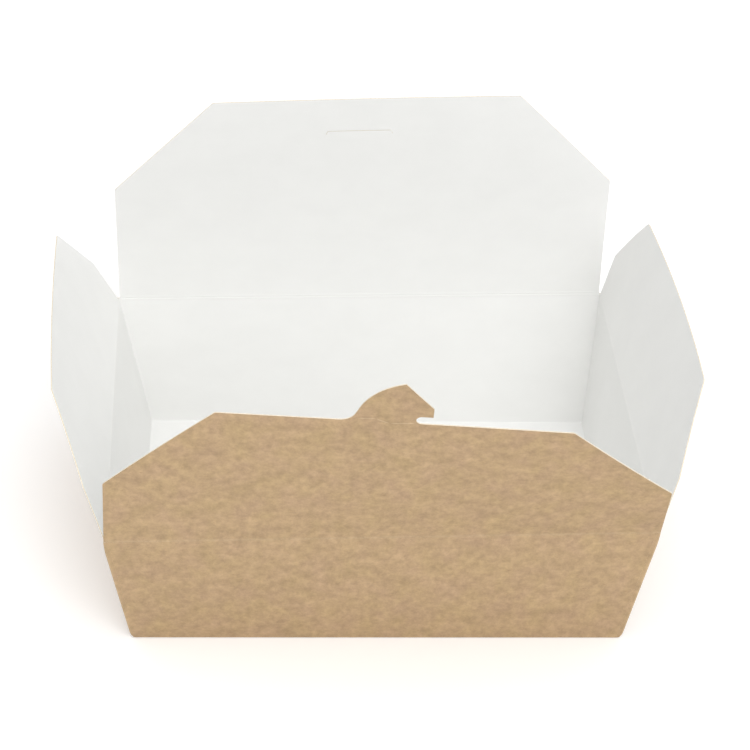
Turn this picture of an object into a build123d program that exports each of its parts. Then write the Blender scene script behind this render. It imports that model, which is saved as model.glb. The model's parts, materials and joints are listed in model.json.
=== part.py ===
"""Takeaway box: one sheet of lined kraft paperboard, folded to a flared tray with four top flaps.

X runs along the width, +Y points to the back, Z is up, and the origin is the centre of the base's underside.
All sizes are in millimetres. The flaps stand open, leaning as they do on a box that has just been made up.
"""
import os
from math import atan, atan2, cos, hypot, pi, radians, sin

from build123d import *

# Driving sizes of the tray
BASE_WIDTH = 197.0
BASE_DEPTH = 140.0
RIM_WIDTH = 214.0
RIM_DEPTH = 161.0
LID_FOLD_HEIGHT = 63.5
BOARD = 0.45

# Driving sizes of the flaps, each length measured from its fold, and the lid's lip beyond the locking slit
LID_SIDE = 57.0
LID_LIP = 15.8
LID_TIP_WIDTH = 128.0
FRONT_LENGTH = 76.5
FRONT_SIDE = 34.0
FRONT_TIP_WIDTH = 128.0
END_LENGTH = 57.0
END_SIDE = 25.0
END_SIDE_INSET = 5.0
END_TIP_WIDTH = 106.0
FLAP_CORNER_RADIUS = 1.5

# Locking tab on the front flap and the slit in the lid that takes it
TAB_NECK_WIDTH = 22.0
TAB_HEIGHT = 24.5
TAB_BARB = 6.0
TAB_OFFSET = -3.6
TAB_ROOT_RADIUS = 4.0
NOTCH_WIDTH = 4.4
SLIT_LENGTH = 26.5
SLIT_WIDTH = 0.6
SLIT_HOOK = 1.6

# How far each flap leans outward from upright as it stands open, in degrees
LID_LEAN = 1.0
FRONT_LEAN = 16.0
LEFT_LEAN = 23.0
RIGHT_LEAN = 17.5

# Folds and clearances
FOLD_RADIUS = 1.0
INNER_CORNER_RADIUS = 0.8
FOLD_GAP = 0.3
STACK_GAP = 0.35
SIDE_GAP = 0.4
WEB_START = 2.5

# Wall slopes and the board's thickness measured level through a sloping wall
end_slope = (RIM_WIDTH - BASE_WIDTH) / 2 / LID_FOLD_HEIGHT
long_slope = (RIM_DEPTH - BASE_DEPTH) / 2 / LID_FOLD_HEIGHT
end_angle = atan(end_slope)
long_angle = atan(long_slope)
end_board = BOARD / cos(end_angle)
long_board = BOARD / cos(long_angle)

# The folds are stepped so that the end flaps close first, then the lid, then the front flap
fold_step = BOARD + STACK_GAP
lid_fold = LID_FOLD_HEIGHT
front_fold = lid_fold + fold_step
end_fold = lid_fold - fold_step
wall_drop = BOARD / 2 + FOLD_GAP
front_top = front_fold - wall_drop
back_top = lid_fold - wall_drop
end_top = end_fold - wall_drop


def half_width(height):
    """Half the tray's outside width at a height."""
    return BASE_WIDTH / 2 + end_slope * height


def half_depth(height):
    """Half the tray's outside depth at a height."""
    return BASE_DEPTH / 2 + long_slope * height


# Fold lines run through the middle of the board
lid_hinge_y = half_depth(lid_fold) - long_board / 2
front_hinge_y = half_depth(front_fold) - long_board / 2
end_hinge_x = half_width(end_fold) - end_board / 2

# The lid and front flap pass between upright end flaps, and the end flaps between the long walls
cross_width = 2 * (end_hinge_x - BOARD / 2 - SIDE_GAP)
end_width = 2 * (half_depth(end_fold) - long_board - SIDE_GAP)

# The slit lies under the closed front flap's edge, and the lid runs on past the slit by its lip
slit_distance = lid_hinge_y + front_hinge_y - FRONT_LENGTH
lid_length = slit_distance + LID_LIP

# Corner web, seen flat on the end wall: the fold halves the angle that the blank leaves at the base corner
corner_rise = end_top / cos(end_angle)
corner_run = long_slope * end_top
corner_edge = hypot(corner_rise, corner_run)
end_edge_angle = atan2(corner_run, corner_rise)
long_edge_angle = atan2(end_slope * end_top, end_top / cos(long_angle))
web_angle = (pi / 2 - end_edge_angle - long_edge_angle) / 2
web_fold = corner_edge * cos(web_angle)
web_fold_angle = end_edge_angle - web_angle
web_thickness = 2 * BOARD
web_fold_radius = 0.9 * BOARD

# One-piece tray: base, four flared walls and the glued corner webs
with BuildPart() as tray:
    with BuildSketch(Plane.XY):
        Rectangle(BASE_WIDTH, BASE_DEPTH)
    with BuildSketch(Plane.XY.offset(front_top)):
        Rectangle(2 * half_width(front_top), 2 * half_depth(front_top))
    loft(ruled=True)
    fillet(tray.edges().group_by(Axis.Z)[0], FOLD_RADIUS)
    with BuildSketch(Plane.XY.offset(BOARD)):
        Rectangle(2 * (half_width(BOARD) - end_board), 2 * (half_depth(BOARD) - long_board))
    with BuildSketch(Plane.XY.offset(front_top)):
        Rectangle(2 * (half_width(front_top) - end_board), 2 * (half_depth(front_top) - long_board))
    loft(ruled=True, mode=Mode.SUBTRACT)
    # Folded corners inside: the four slanting edges, then the edges round the floor
    wall_middle = front_top / 2
    corners = tray.edges().filter_by_position(Axis.Z, wall_middle - 2, wall_middle + 2)
    inside = corners.filter_by(lambda edge: abs(edge.center().X) < half_width(wall_middle) - end_board / 2)
    fillet(inside, INNER_CORNER_RADIUS)
    floor_face = tray.faces().filter_by(Axis.Z).filter_by_position(Axis.Z, BOARD - 0.01, BOARD + 0.01)[0]
    fillet(floor_face.edges(), FOLD_RADIUS - BOARD)
    # Each wall ends just below its own fold
    with BuildSketch(Plane.XY.offset(end_top)):
        Rectangle(2 * RIM_WIDTH, 2 * (half_depth(end_top) - long_board))
    extrude(amount=2 * (front_top - end_top), mode=Mode.SUBTRACT)
    with BuildSketch(Plane.XY.offset(back_top)):
        with Locations((0, RIM_DEPTH / 2)):
            Rectangle(2 * RIM_WIDTH, RIM_DEPTH)
    extrude(amount=2 * (front_top - back_top), mode=Mode.SUBTRACT)
    # Two-layer webs on the outside of the end walls
    for end_side in (-1, 1):
        end_face = Plane(
            origin=(end_side * BASE_WIDTH / 2, 0, 0),
            x_dir=(0, end_side, 0),
            z_dir=(end_side * cos(end_angle), 0, -sin(end_angle)),
        )
        with BuildSketch(end_face):
            for web_side in (-1, 1):
                along_edge = (web_side * sin(end_edge_angle), cos(end_edge_angle))
                along_fold = (web_side * sin(web_fold_angle), cos(web_fold_angle))
                corner = web_side * BASE_DEPTH / 2
                with BuildLine():
                    Polyline(
                        (corner + WEB_START * along_edge[0], WEB_START * along_edge[1]),
                        (corner + corner_edge * along_edge[0], corner_edge * along_edge[1]),
                        (corner + web_fold * along_fold[0], web_fold * along_fold[1]),
                        (corner + WEB_START * along_fold[0], WEB_START * along_fold[1]),
                        close=True,
                    )
                make_face()
        extrude(amount=web_thickness)
    # Round the folded edges of each web: its doubled edge and the corner where the long wall turns into it
    web_area = corner_edge * web_fold * sin(web_angle) / 2
    webs = tray.faces().filter_by(lambda face: abs(face.normal_at().X) > 0.9 and abs(face.area / web_area - 1) < 0.1)
    fillet([edge for web in webs for edge in web.edges().sort_by(SortBy.LENGTH)[-2:]], web_fold_radius)

# Lid flap on the back wall, with the slit where the front flap's edge comes to rest
lid_plane = Plane(
    origin=(0, lid_hinge_y, lid_fold),
    x_dir=(1, 0, 0),
    z_dir=(0, -cos(radians(LID_LEAN)), sin(radians(LID_LEAN))),
)
slit_start = TAB_OFFSET - TAB_NECK_WIDTH / 2 - SLIT_HOOK
slit_end = slit_start + SLIT_LENGTH
with BuildPart() as rear_lid:
    with BuildSketch(Plane(origin=lid_plane.origin, x_dir=lid_plane.y_dir, z_dir=lid_plane.x_dir)):
        with BuildLine():
            Polyline((0, BOARD / 2), (lid_length, BOARD / 2), (lid_length, -BOARD / 2), (0, -BOARD / 2))
            ThreePointArc((0, -BOARD / 2), (-BOARD / 2, 0), (0, BOARD / 2))
        make_face()
    extrude(amount=cross_width / 2, both=True)
    with BuildSketch(lid_plane) as lid_outline:
        with BuildLine():
            Polyline(
                (-cross_width / 2, -BOARD),
                (-cross_width / 2, LID_SIDE),
                (-LID_TIP_WIDTH / 2, lid_length),
                (LID_TIP_WIDTH / 2, lid_length),
                (cross_width / 2, LID_SIDE),
                (cross_width / 2, -BOARD),
                close=True,
            )
        make_face()
        fillet(lid_outline.vertices().filter_by_position(Axis.Y, LID_SIDE / 2, lid_length + 1), FLAP_CORNER_RADIUS)
    extrude(amount=BOARD, both=True, mode=Mode.INTERSECT)
    with BuildSketch(lid_plane):
        with BuildLine():
            Polyline(
                (slit_start - SLIT_HOOK / 2, slit_distance - SLIT_HOOK),
                (slit_start, slit_distance),
                (slit_end, slit_distance),
                (slit_end + SLIT_HOOK / 2, slit_distance - SLIT_HOOK),
            )
        trace(line_width=SLIT_WIDTH)
    extrude(amount=BOARD, both=True, mode=Mode.SUBTRACT)

# Front flap with its hooked tab: a curved leading side, a barb, and a round-ended notch under the barb
front_plane = Plane(
    origin=(0, -front_hinge_y, front_fold),
    x_dir=(1, 0, 0),
    z_dir=(0, -cos(radians(FRONT_LEAN)), -sin(radians(FRONT_LEAN))),
)
front_reach = FRONT_LENGTH + TAB_HEIGHT
neck_left = TAB_OFFSET - TAB_NECK_WIDTH / 2
neck_right = TAB_OFFSET + TAB_NECK_WIDTH / 2
barb_x = neck_right + TAB_BARB
notch_radius = NOTCH_WIDTH / 2
with BuildPart() as front_flap:
    with BuildSketch(Plane(origin=front_plane.origin, x_dir=front_plane.y_dir, z_dir=front_plane.x_dir)):
        with BuildLine():
            Polyline((0, BOARD / 2), (front_reach, BOARD / 2), (front_reach, -BOARD / 2), (0, -BOARD / 2))
            ThreePointArc((0, -BOARD / 2), (-BOARD / 2, 0), (0, BOARD / 2))
        make_face()
    extrude(amount=cross_width / 2, both=True)
    with BuildSketch(front_plane) as front_outline:
        with BuildLine():
            Polyline(
                (cross_width / 2, -BOARD),
                (-cross_width / 2, -BOARD),
                (-cross_width / 2, FRONT_SIDE),
                (-FRONT_TIP_WIDTH / 2, FRONT_LENGTH),
                (neck_left, FRONT_LENGTH),
            )
            ThreePointArc(
                (neck_left, FRONT_LENGTH),
                (neck_left + 0.355 * TAB_NECK_WIDTH, FRONT_LENGTH + 0.767 * TAB_HEIGHT),
                (neck_left + 0.79 * TAB_NECK_WIDTH, front_reach),
            )
            Polyline(
                (neck_left + 0.79 * TAB_NECK_WIDTH, front_reach),
                (barb_x, FRONT_LENGTH + 0.41 * TAB_HEIGHT),
                (barb_x, FRONT_LENGTH + NOTCH_WIDTH),
                (neck_right + notch_radius, FRONT_LENGTH + NOTCH_WIDTH),
            )
            ThreePointArc(
                (neck_right + notch_radius, FRONT_LENGTH + NOTCH_WIDTH),
                (neck_right, FRONT_LENGTH + notch_radius),
                (neck_right + notch_radius, FRONT_LENGTH),
            )
            Polyline(
                (neck_right + notch_radius, FRONT_LENGTH),
                (FRONT_TIP_WIDTH / 2, FRONT_LENGTH),
                (cross_width / 2, FRONT_SIDE),
                (cross_width / 2, -BOARD),
            )
        make_face()
        tab_root = front_outline.vertices().sort_by_distance((neck_left, FRONT_LENGTH))[0]
        fillet(tab_root, TAB_ROOT_RADIUS)
        outer = front_outline.vertices().filter_by_position(Axis.Y, FRONT_SIDE / 2, FRONT_LENGTH + 0.1)
        fillet(outer.filter_by(lambda corner: abs(corner.X) > FRONT_TIP_WIDTH / 2 - 1), FLAP_CORNER_RADIUS)
    extrude(amount=BOARD, both=True, mode=Mode.INTERSECT)

# End flap on the left wall
left_plane = Plane(
    origin=(-end_hinge_x, 0, end_fold),
    x_dir=(0, 1, 0),
    z_dir=(cos(radians(LEFT_LEAN)), 0, sin(radians(LEFT_LEAN))),
)
with BuildPart() as left_end_flap:
    with BuildSketch(Plane(origin=left_plane.origin, x_dir=left_plane.y_dir, z_dir=left_plane.x_dir)):
        with BuildLine():
            Polyline((0, BOARD / 2), (END_LENGTH, BOARD / 2), (END_LENGTH, -BOARD / 2), (0, -BOARD / 2))
            ThreePointArc((0, -BOARD / 2), (-BOARD / 2, 0), (0, BOARD / 2))
        make_face()
    extrude(amount=end_width / 2, both=True)
    with BuildSketch(left_plane) as left_outline:
        with BuildLine():
            Polyline(
                (-end_width / 2, -BOARD),
                (-end_width / 2, 0),
                (END_SIDE_INSET - end_width / 2, END_SIDE),
                (-END_TIP_WIDTH / 2, END_LENGTH),
                (END_TIP_WIDTH / 2, END_LENGTH),
                (end_width / 2 - END_SIDE_INSET, END_SIDE),
                (end_width / 2, 0),
                (end_width / 2, -BOARD),
                close=True,
            )
        make_face()
        fillet(left_outline.vertices().filter_by_position(Axis.Y, END_SIDE / 2, END_LENGTH + 1), FLAP_CORNER_RADIUS)
    extrude(amount=BOARD, both=True, mode=Mode.INTERSECT)

# End flap on the right wall
right_plane = Plane(
    origin=(end_hinge_x, 0, end_fold),
    x_dir=(0, -1, 0),
    z_dir=(-cos(radians(RIGHT_LEAN)), 0, sin(radians(RIGHT_LEAN))),
)
with BuildPart() as right_end_flap:
    with BuildSketch(Plane(origin=right_plane.origin, x_dir=right_plane.y_dir, z_dir=right_plane.x_dir)):
        with BuildLine():
            Polyline((0, BOARD / 2), (END_LENGTH, BOARD / 2), (END_LENGTH, -BOARD / 2), (0, -BOARD / 2))
            ThreePointArc((0, -BOARD / 2), (-BOARD / 2, 0), (0, BOARD / 2))
        make_face()
    extrude(amount=end_width / 2, both=True)
    with BuildSketch(right_plane) as right_outline:
        with BuildLine():
            Polyline(
                (-end_width / 2, -BOARD),
                (-end_width / 2, 0),
                (END_SIDE_INSET - end_width / 2, END_SIDE),
                (-END_TIP_WIDTH / 2, END_LENGTH),
                (END_TIP_WIDTH / 2, END_LENGTH),
                (end_width / 2 - END_SIDE_INSET, END_SIDE),
                (end_width / 2, 0),
                (end_width / 2, -BOARD),
                close=True,
            )
        make_face()
        fillet(right_outline.vertices().filter_by_position(Axis.Y, END_SIDE / 2, END_LENGTH + 1), FLAP_CORNER_RADIUS)
    extrude(amount=BOARD, both=True, mode=Mode.INTERSECT)

tray.part.label = "tray"
rear_lid.part.label = "rear_lid"
front_flap.part.label = "front_flap"
left_end_flap.part.label = "left_end_flap"
right_end_flap.part.label = "right_end_flap"

os.makedirs("parts", exist_ok=True)
export_step(tray.part, "parts/tray.step")
export_step(rear_lid.part, "parts/rear_lid.step")
export_step(front_flap.part, "parts/front_flap.step")
export_step(left_end_flap.part, "parts/left_end_flap.step")
export_step(right_end_flap.part, "parts/right_end_flap.step")
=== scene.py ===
"""Looks of a folded takeaway box: one die-cut sheet of lined kraft board, standing open.

Every panel is a real sheet with two faces and a cut edge: brown kraft outside, white lining inside.
The flaps are twisted a little as they stand.
"""
import json
import logging
import math
from dataclasses import dataclass, field
from enum import Enum, IntEnum
from typing import Any, NamedTuple, Sequence

import bpy
import numpy as np
from mathutils import Matrix, Vector
from mathutils.geometry import delaunay_2d_cdt


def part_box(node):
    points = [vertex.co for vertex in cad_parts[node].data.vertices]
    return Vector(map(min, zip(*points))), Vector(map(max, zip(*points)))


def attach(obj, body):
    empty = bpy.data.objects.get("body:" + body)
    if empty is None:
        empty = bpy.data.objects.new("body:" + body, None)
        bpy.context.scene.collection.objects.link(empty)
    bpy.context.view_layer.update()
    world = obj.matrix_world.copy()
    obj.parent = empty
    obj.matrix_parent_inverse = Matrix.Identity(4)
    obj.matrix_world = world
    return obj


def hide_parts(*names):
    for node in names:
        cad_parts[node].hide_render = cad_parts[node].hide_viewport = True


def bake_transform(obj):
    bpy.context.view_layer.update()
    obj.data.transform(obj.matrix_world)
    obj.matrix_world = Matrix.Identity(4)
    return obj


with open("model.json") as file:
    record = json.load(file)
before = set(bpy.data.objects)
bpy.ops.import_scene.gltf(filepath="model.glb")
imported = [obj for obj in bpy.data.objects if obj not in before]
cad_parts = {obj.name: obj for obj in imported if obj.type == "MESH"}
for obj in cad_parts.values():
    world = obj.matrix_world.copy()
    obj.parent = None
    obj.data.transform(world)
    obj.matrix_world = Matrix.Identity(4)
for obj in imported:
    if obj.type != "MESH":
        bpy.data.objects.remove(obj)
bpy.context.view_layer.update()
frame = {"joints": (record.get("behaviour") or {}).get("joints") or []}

LOG = logging.getLogger("takeaway_box")
MM = 0.001
UP = np.array([0.0, 0.0, 1.0])
BLANK_MAP = "blank"
WORN = "worn"
WHITE = (1.0, 1.0, 1.0, 1.0)
# Stands in for zero where a division or a sign needs more than that
TINY = 1e-15
# Share of a step that rounding may add to a length
ROUNDING = 1e-6
# Nearly all the values of a noise lie between these two
NOISE_SPAN = (0.3, 0.7)
RANGE_SOCKETS = ("From Min", "From Max", "To Min", "To Max")

Array = np.ndarray
Point = tuple[float, float]
Place = tuple[float, float, float]
Polygon = tuple[int, ...]
Settings = dict[str | int, Any]


class Face(IntEnum):
    """Material slots of a sheet of board."""

    KRAFT = 0
    LINING = 1
    EDGE = 2


class Side(Enum):
    """The sides of the box in order round it: unit vectors along the fold and out of the box."""

    FRONT = ((1.0, 0.0, 0.0), (0.0, -1.0, 0.0))
    RIGHT = ((0.0, 1.0, 0.0), (1.0, 0.0, 0.0))
    BACK = ((1.0, 0.0, 0.0), (0.0, 1.0, 0.0))
    LEFT = ((0.0, 1.0, 0.0), (-1.0, 0.0, 0.0))

    @property
    def along(self) -> Array:
        """Unit vector along the fold."""
        return np.array(self.value[0])

    @property
    def out(self) -> Array:
        """Unit vector out of the box."""
        return np.array(self.value[1])

    @property
    def number(self) -> int:
        """Number of the side, counted round the box from the front."""
        return list(Side).index(self)

    @property
    def is_long(self) -> bool:
        """Whether the side is the front or the back."""
        return self in (Side.FRONT, Side.BACK)

    @property
    def word(self) -> str:
        """Name of the side in lower case."""
        return self.name.lower()

    def turned(self, steps: int) -> "Side":
        """The side that lies some steps further round the box."""
        return list(Side)[(self.number + steps) % len(Side)]


def linear(hex_colour: str) -> tuple[float, float, float, float]:
    """Turns an sRGB hex colour into linear RGBA.

    Args:
        hex_colour: Colour such as "#C4A57B".

    Returns:
        Linear red, green, blue and an alpha of 1.
    """
    values = [int(hex_colour[i : i + 2], 16) / 255 for i in (1, 3, 5)]
    red, green, blue = [v / 12.92 if v <= 0.04045 else ((v + 0.055) / 1.055) ** 2.4 for v in values]
    return red, green, blue, 1.0


def set_node(
    made: bpy.types.Node, settings: Settings | None = None, links: Settings | None = None
) -> bpy.types.Node:
    """Gives a shader node its settings and links.

    Args:
        made: The node.
        settings: Input values by socket name or number, node properties by name, or the places and hex
            colours of a colour ramp.
        links: Sockets, or nodes for their first socket, by the name or number of the input.

    Returns:
        The same node.
    """
    for key, value in (settings or {}).items():
        if key == "color_ramp":
            for stop, (place, colour) in zip(made.color_ramp.elements, value):
                stop.position = place
                stop.color = linear(colour)
        elif isinstance(key, str) and hasattr(made, key):
            setattr(made, key, value)
        else:
            made.inputs[key].default_value = value
    for key, source in (links or {}).items():
        socket = source.outputs[0] if isinstance(source, bpy.types.Node) else source
        made.id_data.links.new(socket, made.inputs[key])
    return made


def add_node(
    tree: bpy.types.NodeTree, kind: str, settings: Settings | None = None, links: Settings | None = None
) -> bpy.types.Node:
    """Adds a shader node of a kind such as "TexNoise", with settings and links as set_node takes them."""
    return set_node(tree.nodes.new(f"ShaderNode{kind}"), settings, links)


def new_material(name: str) -> tuple[bpy.types.Material, bpy.types.NodeTree, bpy.types.Node]:
    """Makes a material with nodes.

    Args:
        name: Name of the material.

    Returns:
        The material, its tree and its Principled shader.
    """
    made = bpy.data.materials.new(name)
    made.use_nodes = True
    return made, made.node_tree, made.node_tree.nodes["Principled BSDF"]


def blank_place(tree: bpy.types.NodeTree, stretch: Place) -> bpy.types.Node:
    """Node that gives the place on the flat blank in metres, so that a pattern runs on over the folds."""
    place = add_node(tree, "UVMap", {"uv_map": BLANK_MAP})
    return add_node(tree, "VectorMath", {"operation": "MULTIPLY", 1: stretch}, {0: place})


class Grain(NamedTuple):
    """A pattern in the paper: its size, how finely it breaks up, its bend, and its stretch on the blank.

    A stretch under 1 draws the pattern out in that direction.
    """

    size: float
    detail: float
    roughness: float
    bend: float = 0.0
    stretch: Place = (1.0, 1.0, 1.0)

    @property
    def settings(self) -> dict[str, float]:
        """Settings of the noise that draws the pattern."""
        finer = {"Detail": self.detail, "Roughness": self.roughness, "Distortion": self.bend}
        return {"Scale": 1 / self.size} | finer


@dataclass(frozen=True)
class KraftFace:
    """Unbleached kraft paper, wet-laid and uncoated.

    The pulp clouds as it drains, so the brown drifts between ochre and a pinkish tan over several
    millimetres, and thicker flocs of pulp stand a shade darker than the thin places. Finer tufts of fibre
    lighten and darken it, drawn out along the machine direction, with a few dark flecks of bark. It is matt.
    Real fibres are too fine to show from here, so the tufts and flecks are drawn a few times coarser.
    """

    ochre: str = "#B79D78"
    pink: str = "#B79B7C"
    fleck: str = "#8F714F"
    pale_fibre: str = "#DCC6A4"
    cloud: Grain = Grain(8.5 * MM, 2.0, 0.5, 0.3, (0.85, 0.62, 1.0))
    floc: Grain = Grain(9.0 * MM, 3.0, 0.62, 0.4, (0.6, 1.0, 1.0))
    tuft: Grain = Grain(3.6 * MM, 3.5, 0.78, 0.0, (0.95, 0.85, 1.0))
    speck: Grain = Grain(1.9 * MM, 3.0, 0.7, 0.0, (0.55, 1.0, 1.0))
    fibre: Grain = Grain(0.6 * MM, 3.0, 0.7, 0.0, (0.3, 1.0, 1.0))
    floc_contrast: float = 0.34
    tuft_contrast: float = 0.86
    fleck_span: Point = (0.64, 0.78)
    fleck_depth: float = 0.5
    roughness: Point = (0.8, 0.94)
    specular: float = 0.25
    tooth_height: float = 0.03 * MM
    tooth_strength: float = 0.3

    def material(self) -> bpy.types.Material:
        """Makes the material.

        Returns:
            Kraft paper with clouding, tufts, flecks and paler worn folds.
        """
        made, tree, shader = new_material("kraft_paper_uncoated")
        clouds, flocs, tufts, specks, fibres = (
            add_node(tree, "TexNoise", grain.settings, {"Vector": blank_place(tree, grain.stretch)})
            for grain in (self.cloud, self.floc, self.tuft, self.speck, self.fibre)
        )
        browns = {"color_ramp": zip(NOISE_SPAN, (self.pink, self.ochre))}
        body = add_node(tree, "ValToRGB", browns, {"Fac": clouds})
        shade, thickness = (
            add_node(
                tree,
                "MapRange",
                {"To Min": 1 - contrast / 2, "To Max": 1 + contrast / 2, "clamp": False},
                {"Value": pattern},
            )
            for pattern, contrast in ((tufts, self.tuft_contrast), (flocs, self.floc_contrast))
        )
        both = add_node(tree, "Math", {"operation": "MULTIPLY"}, {0: shade, 1: thickness})
        tufted = add_node(tree, "VectorMath", {"operation": "SCALE"}, {0: body, "Scale": both})
        span = dict(zip(RANGE_SOCKETS, self.fleck_span + (0.0, self.fleck_depth)))
        dark = add_node(tree, "MapRange", span, {"Value": specks})
        flecked = add_node(tree, "Mix", {"data_type": "RGBA", 7: linear(self.fleck)}, {0: dark, 6: tufted})
        worn = add_node(tree, "Attribute", {"attribute_name": WORN})
        rubbed = add_node(tree, "Math", {"operation": "MULTIPLY"}, {0: worn.outputs["Fac"], 1: tufts})
        bare = {"data_type": "RGBA", 7: linear(self.pale_fibre)}
        colour = add_node(tree, "Mix", bare, {0: rubbed, 6: flecked.outputs[2]})
        gloss = add_node(
            tree, "MapRange", dict(zip(RANGE_SOCKETS, NOISE_SPAN + self.roughness)), {"Value": fibres}
        )
        relief = {"Strength": self.tooth_strength, "Distance": self.tooth_height}
        tooth = add_node(tree, "Bump", relief, {"Height": fibres})
        links = {"Base Color": colour.outputs[2], "Roughness": gloss, "Normal": tooth}
        set_node(shader, {"Specular IOR Level": self.specular}, links)
        return made


@dataclass(frozen=True)
class WhiteLining:
    """White board liner with an extruded barrier film.

    The film gives the white a soft sheen over a faint pebble from the chill roll, and the pulp below clouds
    it very slightly. The real pebble is too fine to show, so it is drawn a few times coarser.
    """

    white: str = "#F0F0EE"
    shade: str = "#EEEEEC"
    cloud: Grain = Grain(14.0 * MM, 4.0, 0.6, 0.0, (0.7, 1.0, 1.0))
    cloud_span: Point = (0.35, 0.65)
    pebble: Grain = Grain(0.9 * MM, 2.0, 0.5)
    roughness: Point = (0.38, 0.48)
    ior: float = 1.5
    pebble_height: float = 0.02 * MM
    pebble_strength: float = 0.08

    def material(self) -> bpy.types.Material:
        """Makes the material.

        Returns:
            White film-lined board with a soft sheen.
        """
        made, tree, shader = new_material("white_liner_film_coated")
        clouds, pebbles = (
            add_node(tree, "TexNoise", grain.settings, {"Vector": blank_place(tree, grain.stretch)})
            for grain in (self.cloud, self.pebble)
        )
        whites = {"color_ramp": zip(self.cloud_span, (self.shade, self.white))}
        colour = add_node(tree, "ValToRGB", whites, {"Fac": clouds})
        gloss = add_node(
            tree, "MapRange", dict(zip(RANGE_SOCKETS, NOISE_SPAN + self.roughness)), {"Value": pebbles}
        )
        relief = {"Strength": self.pebble_strength, "Distance": self.pebble_height}
        skin = add_node(tree, "Bump", relief, {"Height": pebbles})
        set_node(shader, {"IOR": self.ior}, {"Base Color": colour, "Roughness": gloss, "Normal": skin})
        return made


@dataclass(frozen=True)
class CutEdge:
    """Die-cut edge of the board: the pale core between the faces, torn a little by the rule, fully matt.

    Its fibres are drawn a few times coarser than real ones, so that they show.
    """

    core: str = "#EAE1CF"
    fibre: str = "#DCD0BA"
    grain: Grain = Grain(0.7 * MM, 3.0, 0.7)
    grain_span: Point = (0.3, 0.62)
    roughness: float = 0.92
    specular: float = 0.2

    def material(self) -> bpy.types.Material:
        """Makes the material.

        Returns:
            Cream board core with short fibres.
        """
        made, tree, shader = new_material("board_core_die_cut")
        place = blank_place(tree, self.grain.stretch)
        fibres = add_node(tree, "TexNoise", self.grain.settings, {"Vector": place})
        creams = {"color_ramp": zip(self.grain_span, (self.fibre, self.core))}
        colour = add_node(tree, "ValToRGB", creams, {"Fac": fibres})
        matt = {"Roughness": self.roughness, "Specular IOR Level": self.specular}
        set_node(shader, matt, {"Base Color": colour})
        return made


def place_object(name: str, data: bpy.types.ID) -> bpy.types.Object:
    """Puts a new object into the scene.

    Args:
        name: Name of the object.
        data: Its mesh, lamp or camera.

    Returns:
        The object.
    """
    made = bpy.data.objects.new(name, data)
    bpy.context.scene.collection.objects.link(made)
    return made


@dataclass
class Board:
    """The sheet that the box is cut from, with the creases that the die presses into it.

    Half-cuts are drawn wider than a real cut so that they show. The dips beside the rim creases are in the
    order of Side, the materials in the order of Face, and the clearances are shares of a step, which a
    groove divides into its own steps.
    """

    thickness: float = 0.45 * MM
    fold_radius: float = 1.0 * MM
    crease_dips: tuple[float, ...] = (0.11 * MM, 0.09 * MM, 0.12 * MM, 0.09 * MM)
    crease_reach: float = 0.6 * MM
    crease_width: float = 0.26 * MM
    edge_bulge: float = 0.03 * MM
    groove: float = 0.46 * MM
    groove_depth: float = 0.06 * MM
    groove_bareness: float = 1.5
    groove_steps: int = 3
    worn_reach: float = 0.7 * MM
    worn_share: float = 0.3
    step: float = 3.0 * MM
    edge_clearance: float = 0.55
    cut_clearance: float = 0.33
    crease_rows: tuple[float, ...] = tuple(v * MM for v in (0.0, 0.2, 0.4, 0.6, 0.8, 1.0, 1.4, 2.0))
    sharp_angle: float = 38.0
    materials: list[bpy.types.Material] = field(default_factory=list)

    def dress(self) -> None:
        """Makes the three finishes of the board, in the order of Face."""
        self.materials = [KraftFace().material(), WhiteLining().material(), CutEdge().material()]

    def dip(self, distance: Array, side: Side) -> Array:
        """How far the grooves beside a side's crease press the sheet inward, at distances from it."""
        off = (distance - self.crease_reach) / self.crease_width
        return self.crease_dips[side.number] * np.exp(-(off**2))

    def wear(self, distance: Array) -> Array:
        """How pale a fold has been rubbed, at distances from it in metres."""
        return self.worn_share * np.exp(-((distance / self.worn_reach) ** 2))

    def mesh_object(
        self, name: str, places: Array, faces: list[Polygon], slots: list[int], blank: Array, worn: Array
    ) -> bpy.types.Object:
        """Makes a mesh object of board.

        Args:
            name: Name of the piece.
            places: Vertex positions in metres.
            faces: Vertex numbers of each face.
            slots: Material slot of each face.
            blank: Place of each vertex on the flat blank, in metres.
            worn: Wear of each vertex.

        Returns:
            The linked object.
        """
        mesh = bpy.data.meshes.new(name)
        mesh.from_pydata([tuple(p) for p in places.reshape(-1, 3)], [], faces)
        mesh.polygons.foreach_set("material_index", slots)
        for material in self.materials:
            mesh.materials.append(material)
        corners = np.zeros(len(mesh.loops), np.int32)
        mesh.loops.foreach_get("vertex_index", corners)
        layer = mesh.uv_layers.new(name=BLANK_MAP)
        layer.uv.foreach_set("vector", blank.reshape(-1, 2)[corners].astype(np.float32).ravel())
        rubbed = mesh.attributes.new(WORN, "FLOAT", "POINT")
        rubbed.data.foreach_set("value", worn.ravel().astype(np.float32))
        mesh.polygons.foreach_set("use_smooth", [True] * len(mesh.polygons))
        mesh.set_sharp_from_angle(angle=math.radians(self.sharp_angle))
        mesh.update()
        made = place_object(name, mesh)
        LOG.info("%s: %d faces", name, len(faces))
        return made


def smooth_step(t: Array) -> Array:
    """Smooth rise from 0 to 1, as a blended piece follows its joint."""
    return t * t * (3 - 2 * t)


def inverse_smooth_step(share: float) -> float:
    """Place from 0 to 1 where the smooth rise reaches a share."""
    return 0.5 - math.sin(math.asin(1 - 2 * share) / 3)


def unit(vectors: Array) -> Array:
    """The same vectors, scaled to a length of 1."""
    return vectors / np.maximum(np.linalg.norm(vectors, axis=-1, keepdims=True), TINY)


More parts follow.
